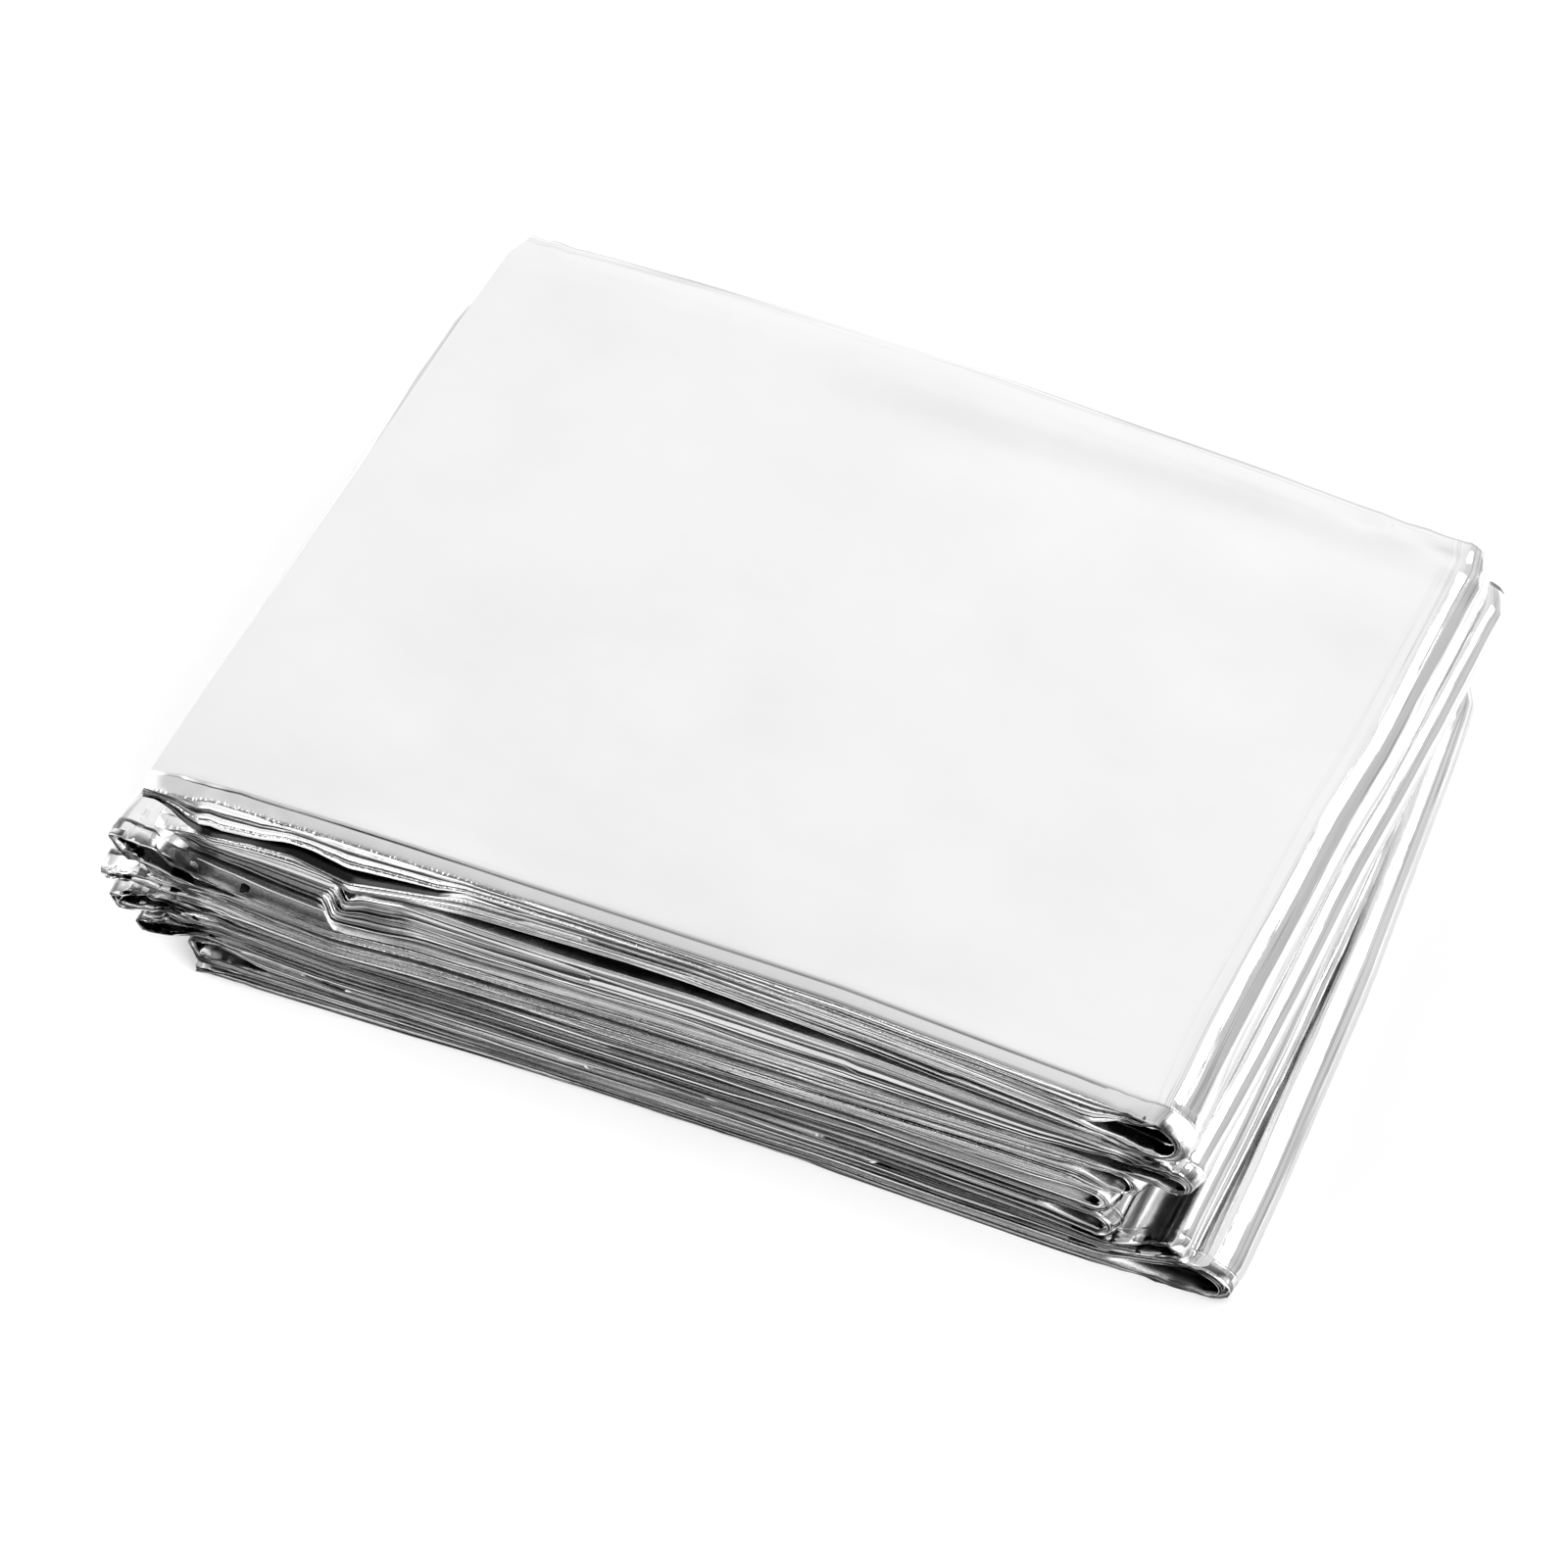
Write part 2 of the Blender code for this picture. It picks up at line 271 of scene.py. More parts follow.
# =============================================================================
# the stack's surfaces: top and bottom of each panel over x and y
# =============================================================================
def back_row(table, k, x):
    left, level, right = table[k]
    u = np.maximum(0.0, (np.abs(x) - 15.0) / 43.0)
    return level + (np.where(x < 0, left, right) - level) * u * u


def depth_share(x, y):
    """0 along the front, 1 along the back."""
    return smooth((y + 41.0) / 78.0)


def tops(k, x, y):
    front = curve(TOP_FRONT[k], x, 0.4 if k in (1, 2) else 1.2)
    back = back_row(TOP_BACK, k, x)
    w = depth_share(x, y)
    z = front + (back - front) * w
    lift = (k < 3) * (1.0 - 0.25 * k)
    crown = np.clip(1.0 - np.abs(x) / 56.0, 0, 1) * (1 - ((y + 2) / 46.0) ** 2)
    z = z + lift * 0.5 * np.clip(crown, -0.1, 1.0)
    if k == 0:
        z = z + top_relief(x, y)
    return z


# small dents: x, y, width, depth, height of the rim
DENTS = (
    (-54.5, 43.6, 1.6, 0.35, 0.30), (43.2, 40.4, 1.8, 0.45, 0.40),
    (48.6, 41.0, 1.6, 0.22, 0.40), (52.0, 40.0, 1.5, 0.22, 0.40),
    (53.4, 37.0, 1.3, 0.15, 0.35), (53.2, 0.4, 1.3, 0.12, 0.40),
    (52.6, -2.4, 0.9, 0.10, 0.30), (-20.2, 34.9, 1.5, 0.10, 0.10),
    (-37.3, 38.1, 1.5, 0.10, 0.10),
)


def top_relief(x, y):
    """Slow unevenness of the sheet that shows on top."""
    away = smooth((58.0 - np.abs(x)) / 9.0) * smooth((45.0 - np.abs(y)) / 6.0)
    z = 0.16 * noise2(x / 23.0, y / 17.0, 3) + 0.05 * noise2(x / 8.0, y / 6.0, 5)
    # a shallow trough along the back, and two lines near the back edge
    z = z - 0.50 * np.exp(-((y - 33.0 - 0.05 * x) / 4.0) ** 2) * smooth((x + 30) / 30.0)
    z = z * away
    in_back = 45.2 - 3.2 * np.clip((x + 58.0) / 116.0, 0, 1) - y
    z = z - 0.07 * smooth((3.1 - in_back) / 0.5) - 0.06 * smooth((4.5 - in_back) / 0.5)
    for px, py, wide, deep, deeper in DENTS:
        u = ((x - px) + 0.5 * (y - py)) / wide
        v = ((y - py) - 0.3 * (x - px)) / (0.6 * wide)
        z = z - deep * np.exp(-u * u - v * v)
        z = z + deeper * np.exp(-(u - 0.8) ** 2 - (v - 0.5) ** 2)
    return z


def lens(k, x, y):
    total = np.zeros(np.broadcast(x, y).shape)
    for above, shape, reach in LENSES:
        if above == k:
            total = total + np.maximum(curve(shape, x, 0.6), 0.0) * np.exp(
                -np.maximum(y + 44.9, 0.0) / reach)
    for above, shape in MOUTHS:
        if above == k:
            total = total + np.maximum(curve(shape, x, 0.6), 0.0)
    return total


def thickest(k, x):
    left, middle, right = THICK[k]
    a = smooth((x + 57.0) / 7.0)
    b = smooth((x - 42.0) / 10.0)
    return left + (middle - left) * a + (right - middle) * b


def bottoms(k, x, y):
    if k == PANELS - 1:
        return np.zeros(np.broadcast(x, y).shape)
    z = tops(k + 1, x, y) + FOLD_GAP + lens(k, x, y)
    return np.minimum(np.maximum(z, tops(k, x, y) - thickest(k, x)),
                      tops(k, x, y) - 0.35)


def edge_front(k, x):
    return curve(EDGE_FRONT[k], x, 0.35 if k in (1, 2) else 1.2)


def edge_back(k, x):
    left, right = EDGE_BACK[k]
    y = left + (right - left) * np.clip((x + 58.0) / 116.0, 0, 1)
    return y + 0.25 * noise1(x / 19.0, 40 + k)


def fold_tip(j, y):
    front, middle, back, _ = FOLDS[j]
    v = np.clip((y + 45.0) / 90.0, 0, 1)
    a = np.interp(v, (0.0, 0.5, 1.0), (front, middle, back))
    wobble = 0.22 * noise1(y / 14.0, 60 + j)
    sign = 1.0 if front > 0 else -1.0
    corner = (smooth((v - 0.955) / 0.045)
              + (0.45 if sign > 0 else 0.0) * smooth((0.02 - v) / 0.02))
    return a + wobble - sign * corner


# =============================================================================
# rows: the sheet's own grid across the strip, pleat after pleat
# =============================================================================
def make_rows():
    """Each row: layer a, layer b, share of the way round the fold that joins
    them, side (-1 front fold, 1 back fold, 0 between the folds), and where
    the row lies if it is between: mm behind the front edge, or a share of the
    depth."""
    rows = []

    def between(p, marks):
        for front, back in marks:
            rows.append((p, p, 0.0, 0, front, back))

    # outer sheets are finely divided, because they show
    outer = [(FREE_EDGE + d, None) for d in (0.0, 0.14, 0.40, 1.2, 2.6, 4.6)]
    outer += [(None, f) for f in
              (0.10, 0.145, 0.19, 0.24, 0.29, 0.34, 0.40, 0.46, 0.52, 0.58,
               0.64, 0.70, 0.75, 0.80, 0.84, 0.88, 0.91, 0.935, 0.950, 0.958,
               0.966, 0.972, 0.980, 0.990)]
    under = outer[:6] + [(None, f) for f in
                         (0.10, 0.17, 0.25, 0.34, 0.44, 0.54, 0.64, 0.74, 0.84,
                          0.91, 0.95, 0.98)]
    plain = [(None, 0.020), (None, 0.075), (None, 0.27), (None, 0.5),
             (None, 0.73), (None, 0.94)]
    second = [(d, None) for d in (0.5, 1.2, EDGE_LINE, 1.9, 4.0)] + plain[1:]
    for p in range(LAYERS):
        last = p == LAYERS - 1
        marks = outer if p == 0 else under if last else (
            second if p in (1, LAYERS - 2) else plain)
        if p % 2 == 0:                        # runs from the front to the back
            between(p, marks)
            if not last:
                for i in range(5):
                    rows.append((p, p + 1, i / 4, 1, 0, 0))
        else:
            between(p, marks[::-1])
            if not last:
                for i in range(9):
                    rows.append((p, p + 1, i / 8, -1, 0, 0))
    return rows


ROWS = make_rows()
ROW_A = np.array([r[0] for r in ROWS])
ROW_B = np.array([r[1] for r in ROWS])
ROW_ROUND = np.array([r[2] for r in ROWS], float)
ROW_SIDE = np.array([r[3] for r in ROWS])
ROW_MARK = np.array([-1.0 if r[4] is None else r[4] for r in ROWS], float)
ROW_PART = np.array([-1.0 if r[5] is None else r[5] for r in ROWS], float)
INNER = (ROW_SIDE == 0) & (ROW_A > 0) & (ROW_A < LAYERS - 1)


def shares(k, x):
    """Height of every layer in a panel, 1 at its top and 0 at its bottom, at
    the front, inside and at the back, for positions x. Layers are counted
    from the panel's top."""
    uneven, broad = PLEATS[k][0], PLEATS[k][6]
    s = np.arange(LAYERS - 1)[:, None]
    x = np.atleast_1d(x)[None, :]
    seed = (k * 31 + s * 7) % 251
    fixed = GRID[(k * 13 + 5) % 256, (s * 3 + k) % 256]
    slow = noise1(x / 40.0, seed)
    jump = steps1((x + 11.0 * k) / 29.0, seed + 2)
    size = np.exp(uneven * (1.2 * fixed + 0.7 * slow + 0.5 * jump))
    size = np.where(s == 1, 0.40, size)       # the topmost fold is thin
    if broad:                                 # one broad fold and a few fine
        first = 3 + 2 * (k % 3)
        size = size * 0.75
        size = np.where(s == first, 15.0 + 4.0 * slow, size)
        if broad == 2:
            size = np.where(s == first + 8, 9.0 + 3.0 * slow, size)
    visible = (s % 2 == 1)
    slot = 0.10 + 2.4 * np.maximum(noise1(x / 22.0, seed + 5) - 0.45, 0.0)
    slot = np.where((s == 0) | (s == LAYERS - 2), 0.5, slot)
    if k == 0:                                # the left end splits in two
        split = np.maximum(curve(SPLIT_TOP, x[0], 0.4), 0.0)
        thin = 1.0 - 0.8 * smooth(split / 0.8)
        size = np.where(s > SPLIT_AT, size * thin, size)
        slot = np.where(s > SPLIT_AT, slot * thin, slot)
        room = tops(0, x[0], -44.9) - bottoms(0, x[0], -44.9)
        g = np.clip(split / room, 0.0, 0.72)
        rest = np.where(visible, size, slot)
        rest = rest.sum(axis=0) - rest[SPLIT_AT]
        slot = np.where(s == SPLIT_AT, np.maximum(slot, rest * g / (1.0 - g)), slot)
    front = np.where(visible, size, slot)
    back = np.where(~visible, np.exp(0.7 * fixed + 0.4 * slow), 0.25)
    inside = np.ones_like(front)
    result = []
    for w in (front, inside, back):
        total = np.cumsum(w, axis=0)
        total = np.vstack([np.zeros((1, total.shape[1])), total])
        result.append(1.0 - total / total[-1:])
    return result


def covered(k, other, x, y):
    """How well a panel's outer sheet is covered by the panel next to it, used
    for painted shade.
    """
    left, right = (other, other + 1) if other % 2 == 0 else (other + 1, other)
    ends = np.minimum(x - fold_tip(left, y), fold_tip(right, y) - x) - 2.8
    lip = edge_front(other, x)
    if other == 2:                # the recess is shaded as well
        lip = np.minimum(lip, -44.2)
    front = y - np.maximum(edge_front(k, x), lip)
    back = np.minimum(edge_back(k, x), edge_back(other, x)) - y
    inside = np.minimum(ends, np.minimum(front, back))
    return smooth((inside - 0.1) / 1.3)


def panel_grid(k, x):
    """Points of panel k where its middle line has the given x: arrays of
    rows by columns. x is rows by columns too. With them, the painted shade
    at each point, from how far it is down in a slot or shut away, and how
    crimped the film is there."""
    uneven, inset, lean, stand, soft, sparkle, broad = PLEATS[k]
    bias = BIAS[k]
    nr, nc = x.shape
    centre = x.mean(axis=0)
    c = centre[None, :]
    front, inside, back = shares(k, centre)
    flip = k % 2 == 1
    a = (LAYERS - 1 - ROW_A) if flip else ROW_A
    b = (LAYERS - 1 - ROW_B) if flip else ROW_B
    yf = edge_front(k, centre)[None, :]
    yb = edge_back(k, centre)[None, :]
    on_fold = (ROW_SIDE < 0)[:, None]

    # how far each visible fold is pushed in, from the panel's front edge
    pair = np.minimum(a, b)[:, None]
    seed = (pair * 5 + k * 17) % 256
    jump = steps1((c + 11.0 * k) / 29.0, seed + 7)
    push = (0.50 * noise1(c / 33.0, seed) + 0.30 * jump
            + 0.16 * noise1(c / 6.0, seed + 3)
            + 0.50 * GRID[(pair + k * 3) % 256, (pair * 7) % 256])
    push = inset * (0.75 + np.clip(push, -0.75, 1.3))
    fine = (noise1(c / 1.3, seed + 9) + 0.7 * noise1(c / 0.7, seed + 20))
    push = push + sparkle * 0.022 * fine
    push = push * np.where(pair <= 1, 0.15, 1.0)
    level = 0.5 * (front[a] + front[b])
    bulk = 0.30 if broad else 0.18
    push = push + bulk * (1.0 - np.sqrt(np.clip(
        1.0 - (1.8 * (level - 0.5)) ** 2, 0.0, 1.0))) * (pair > 1)

    # round the fold: 0 at its upper layer, 1 at its lower one
    turn = np.where(a < b, ROW_ROUND, 1.0 - ROW_ROUND)[:, None]
    tilt = (1.7 * noise1(c / 36.0, seed + 11)
            + 1.3 * steps1((c + 11.0 * k) / 29.0, seed + 12)
            + 0.3 * noise1(c / 9.0, seed + 13)
            + 1.2 * GRID[(pair * 11 + k) % 256, (pair + 5 * k) % 256])
    crease = 0.5 + lean * 1.22 * np.tanh(1.3 * (tilt + bias))
    # the top panel's lowest fold stands out as a bright lip
    lip = (k == 0) & (pair == LAYERS - 3)
    crease = np.where(lip, 0.12, crease)
    push = np.where(lip, 0.05 + 0.1 * noise1(c / 12.0, 33), push)
    # a broad fold leans back, with its crease low down
    wide = (broad > 0) & (pair == 3 + 2 * (k % 3))
    wide = wide | ((broad == 2) & (pair == 11 + 2 * (k % 3)))
    crease = np.where(wide, 0.80 + 0.07 * noise1(c / 27.0, seed + 40), crease)
    soft = np.where(wide, 0.35, soft)
    share = 0.5 - 0.5 * np.cos(np.pi * turn)
    share = soft * share + (1.0 - soft) * turn
    share = np.where(share < 0.5, share * 2.0 * crease,
                     crease + (share - 0.5) * 2.0 * (1.0 - crease))
    bulge = (soft * np.sin(np.pi * turn)
             + (1.0 - soft) * (1.0 - np.abs(2.0 * turn - 1.0)))
    back_share = (0.5 - 0.5 * np.cos(np.pi * turn)) + 0.0 * c
    share = np.where(on_fold, share, back_share)
    bulge = np.where(on_fold, bulge, np.sin(np.pi * turn))

    if k == 2:
        yf = edge_front(k, c + 2.6 * (1.0 - level))
    base_f = yf + push
    base_b = yb - 0.5 * push
    along = ROW_PART[:, None]
    mark = ROW_MARK[:, None]
    y = np.where(ROW_SIDE[:, None] < 0, base_f,
                 np.where(ROW_SIDE[:, None] > 0, base_b, 0.0))
    mid = ROW_SIDE[:, None] == 0
    y_mid = np.where(mark >= 0,
                     yf + mark + 0.10 * noise1(c / 15.0, 3 + k),
                     yf + 0.5 + (yb - yf - 1.0) * np.clip(along, 0, 1))
    y = np.where(mid, y_mid, y)

    def layer(i, inner_f, inner_b):
        f = front[i] * (1 - inner_f) + inside[i] * inner_f
        return f * inner_b + back[i] * (1 - inner_b)

    # the bundle's top and bottom draw together at its front and back edge
    t = tops(k, x, y)
    u = bottoms(k, x, y)
    d = np.maximum(y - yf, 0.0) * np.ones_like(y)
    inner_f = smooth((d - 1.0) / 9.0)
    inner_b = smooth((yb - 1.0 - y) / 9.0)
    drop = (0.55 if k == 0 else 0.16 + 0.14 * noise1(c / 18.0, 70 + k))
    rise = 0.08 + 0.42 * np.maximum(noise1(c / 19.0, 80 + k), 0.0)
    drop = drop * np.clip(1.0 - d / 2.3, 0.0, 1.0) ** 1.7
    rise = rise * np.clip(1.0 - d / 3.5, 0.0, 1.0) ** 1.5
    back_edge = 0.18 * (1 - smooth((yb - y) / 2.6))
    room = t - u
    t = t - np.minimum(drop, 0.3 * room) - back_edge * 0.5 * room
    u = u + np.minimum(rise, 0.3 * room) + back_edge * 0.5 * room
    fa, fb = layer(a, inner_f, inner_b), layer(b, inner_f, inner_b)
    buried = (INNER & (ROW_PART > 0.05))[:, None]
    tight = np.where(buried, 0.78, 1.0)
    za = u + (t - u) * (0.5 + (fa - 0.5) * tight)
    zb = u + (t - u) * (0.5 + (fb - 0.5) * tight)
    z_up, z_low = np.maximum(za, zb), np.minimum(za, zb)
    z = np.where(mid, za, z_up + (z_low - z_up) * share)
    tall = z_up - z_low
    ratio = stand * np.exp(1.2 * noise1(c / 31.0, seed + 15)
                           + 0.7 * steps1((c + 11.0 * k) / 29.0, seed + 16))
    ratio = np.where(lip, 3.5, ratio)
    ratio = np.where(wide, 1.45 + 0.30 * noise1(c / 33.0, seed + 41), ratio)
    reach = np.where(on_fold, np.minimum(0.5 * tall * ratio, 1.3),
                     np.minimum(0.5 * tall, 0.4 + 0.2 * tall))
    y = y + np.where(ROW_SIDE[:, None] < 0, 1.0, -1.0) * (
        ROW_SIDE[:, None] != 0) * reach * (1.0 - bulge)

    i = np.asarray(a)[:, None]
    if k == 0:                    # the sheets below stay clear of the trough
        clear = 0.34 * smooth((c + 45.0) / 20.0) * smooth((y - 10.0) / 8.0)
        clear = clear * smooth((yb - y) / 3.0)
        z = z - np.where(mid & (i > 0) & (i < LAYERS - 1),
                         clear * (1.0 - i / (LAYERS - 1.0)), 0.0)
    # the free edge is turned down on to the sheet under it
    edge = (mark == FREE_EDGE)
    down = np.where(np.asarray(a)[:, None] == 0, -1.0, 1.0)
    z = z + np.where(edge, down * 0.10, 0.0)
    # painted shade down in the slots: all of the film between the folds, and each fold towards
    # its root
    slot = np.where(mid, 1.0, (1.0 - bulge) ** 1.5) * np.ones_like(y)
    # painted shade in patches on the crumpled film at the tips
    tip = smooth((np.abs(c) - 48.5) / 4.0)
    tip_shade_patch = smooth(0.5 + 1.3 * noise2(c / 1.7, 0.8 * pair + 3.0 * k, 17))
    slot = np.where(on_fold, np.maximum(slot, tip * (0.88 + 0.50 * tip_shade_patch)), slot)
    if k == 0:                    # painted shade, black right up to the split's lower rim
        split = smooth(curve(SPLIT_TOP, centre, 0.4) / 0.8)[None, :]
        rim = on_fold & (pair == SPLIT_AT + 1) & (turn < 0.4)
        slot = np.where(rim, np.maximum(slot, 1.6 * split), slot)
    near = [edge_front(o, centre) for o in (k - 1, k + 1) if 0 <= o < PANELS]
    deep = smooth((edge_front(k, centre) - np.min(near, axis=0) - 0.6) / 1.4)
    if k in (1, 2, 3):            # painted shade on the kink and the folds beside it
        kink_shade = smooth((c + 37.6) / 0.8) * smooth((-23.0 - c) / 6.0)
        kink_shade = kink_shade * (0.84 if k == 3 else
                       0.98 + 0.26 * smooth((-30.0 - c) / 3.0))
        slot = np.where(on_fold, np.maximum(slot, kink_shade), slot)
    # painted shade on the folds of a panel that is set back behind a neighbour
    slot = np.where(on_fold, np.maximum(slot, (0.70 + 0.12 * deep)[None, :]
                                        * (deep > 0)[None, :]), slot)
    if k in (2, 3):               # their topmost folds lie in shade
        slot = np.where(on_fold & (pair <= 3), np.maximum(slot, 0.84), slot)
    # painted shade on most of the third panel's folds, which lie set back
    if k == 2:
        slot = np.where(on_fold & (pair <= 13), np.maximum(slot, 0.80), slot)
    if k >= 8:                    # painted shade: the lower part of the front is darker
        slot = np.where(on_fold, np.maximum(slot, 0.76), slot)
    slot = np.where(mid & ((i == 1) | (i == LAYERS - 2)) & (mark > 0), 0.0, slot)
    # painted shadow line on the sheet just under the free edge
    slot = np.where(mid & ((i == 1) | (i == LAYERS - 2)) & (mark == EDGE_LINE),
                    0.60 if k == 3 else 0.97, slot)
    # painted shade on an outer sheet where the next panel covers it
    for outer, other in ((0, k - 1), (LAYERS - 1, k + 1)):
        hidden = covered(k, other, x, y) if 0 <= other < PANELS else 0.0
        if k == 3 and other == 2:
            hidden = 0.42 * hidden
        slot = np.where(mid & (i == outer), hidden, slot)
    if k == 0:                    # painted shade: grey spots where the corner is crumpled
        crumple_shade_at = smooth((c - 42.0) / 6.0) * smooth((y - 37.5) / 3.0)
        spots = smooth((noise2(c / 2.1, y / 1.1, 23) - 0.25) / 0.30)
        slot = np.where(mid & (i == 0), np.maximum(slot, 0.43 * crumple_shade_at * spots),
                        slot)
    # painted shade on the crumpled left tips of the sheets
    ends = smooth((-54.5 - c) / 2.0) * smooth((-42.0 - y) / 1.2)
    slot = np.where(mid & ((i == 0) | (i == LAYERS - 1)) & (k > 0),
                    np.maximum(slot, ends * (0.80 + 0.40 * tip_shade_patch)), slot)
    open_side = (~mid) & (((pair <= 1) & (turn < 0.55))
                          | ((pair >= LAYERS - 3) & (turn > 0.45)))
    slot = np.where(open_side, 0.0, slot)
    # less painted shade on inner sheets where they show at the tips
    shown = (np.abs(c) > 49.0) & ~((k == 0) & ((i == SPLIT_AT) | (i == SPLIT_AT + 1)))
    inner = mid & (i > 0) & (i < LAYERS - 1)
    slot = np.where(inner & shown, 0.35 * slot, slot)
    # painted shade: film shut away inside the stack near black, outer sheets shaded as far as
    # they are covered
    shut_away_shade = np.where(mid & (i > 0) & (i < LAYERS - 1)
                   & ~(((i == 1) | (i == LAYERS - 2)) & (mark > 0)) & ~shown,
                   1.0, 0.0)
    shut_away_shade = np.where(mid & ((i == 0) | (i == LAYERS - 1)), slot, shut_away_shade)
    rows = np.clip(noise1(c / 24.0, seed + 31) + 0.9 * GRID[
        (pair * 3 + k) % 256, (pair + 11) % 256] + 0.25, 0.0, 1.0)
    crimp = np.where(mid, 0.0, sparkle * rows * (0.35 + 0.65 * bulge))
    # painted shade, one number for both: up to 1 down in a slot, 1 to 2 shut away
    return x + 0.0 * y, y, z, slot + shut_away_shade + 0.0 * y, crimp + 0.0 * y


def crush(k, x, y, z, layer_from_top):
    """Crumpled film at the four corners of the stack, worst in front."""
    tip_l = smooth((np.abs(x) - 43.0) / 9.0)
    tip_l = tip_l * (0.55 + 0.45 * smooth((np.abs(x) - 51.0) / 4.0))
    front = smooth((y.min() + 4.5 - y) / 4.0)
    back = smooth((y - y.max() + 5.0) / 4.0)
    weight = tip_l * np.maximum(front, (0.9 if k < 3 else 0.6) * back)
    loose = np.where(ROW_SIDE != 0, 0.07, 0.012)[:, None]
    lay = layer_from_top[:, None] * loose + k * 3.1
    n1 = crease2(x / 2.3 + lay, y / 2.2, 11) - 0.55
    n2 = crease2(x / 1.15 + lay, y / 1.2 + lay, 12) - 0.55
    n3 = noise2(x / 1.7 + lay, y / 1.6, 13)
    n4 = noise2(x / 4.1 + 0.5 * lay, y / 5.0, 14)
    z = z + weight * (0.34 * n1 + 0.22 * n2 + 0.22 * n4)
    y = y + weight * (0.36 * n3 + 0.26 * n2 + 0.25 * n4)
    x = x + weight * (0.28 * n1 + 0.16 * n3)
    return x, y, z


# =============================================================================
# columns: along the strip, panel after panel and fold after fold
# =============================================================================
KINK = -35.0                 # where the second and third panel jump


def level_marks(rightward):
    """Positions along a panel, 0 to 1: close together near its two ends and
    at the kink."""
    marks = [0.0]
    step_end, step_mid, end = 0.62, 1.62, 10.0
    length = 110.0
    at = 0.0
    while at < length:
        near = min(at, length - at)
        step = step_end + (step_mid - step_end) * min(1.0, near / end)
        x = -54.5 + (at if rightward else length - at)
        step = min(step, 0.55 + 0.16 * max(0.0, abs(x - KINK) - 2.0))
        at += step
        marks.append(min(at, length) / length)
    return np.array(marks)


RIGHTWARD, LEFTWARD = level_marks(True), level_marks(False)
# section of a roll: share of its height from the top, and how far out
ROLL = np.array(((0.04, 0.18), (0.10, 0.40), (0.17, 0.60), (0.27, 0.78),
                 (0.40, 0.94), (0.56, 1.00), (0.73, 0.92), (0.88, 0.66),
                 (0.965, 0.34)))
ROLL_LEAF = np.array((0.62, 0.90, 1.00, 0.98, 0.86, 0.68, 0.50, 0.33, 0.17))


def fold_start(k, rows_y):
    """x at which panel k and the next leave the level, at each row's y, for
    the fold that joins them, and its direction."""
    tip = fold_tip(k + 1, rows_y)
    sign = 1.0 if FOLDS[k + 1][0] > 0 else -1.0
    probe = tip - sign * 2.2
    r = 0.5 * (tops(k, probe, rows_y) - bottoms(k + 1, probe, rows_y))
    return tip - sign * FOLDS[k + 1][3] * np.clip(r, 0.5, 3.4), sign


def nominal_y(k):
    """y of every row, near enough to place the folds by."""
    y = np.where(ROW_SIDE < 0, -44.9, np.where(ROW_SIDE > 0, 44.6, 0.0))
    mid = ROW_SIDE == 0
    y_mid = np.where(ROW_MARK >= 0, -44.9 + ROW_MARK,
                     -44.4 + 88.6 * np.clip(ROW_PART, 0, 1))
    return np.where(mid, y_mid, y)


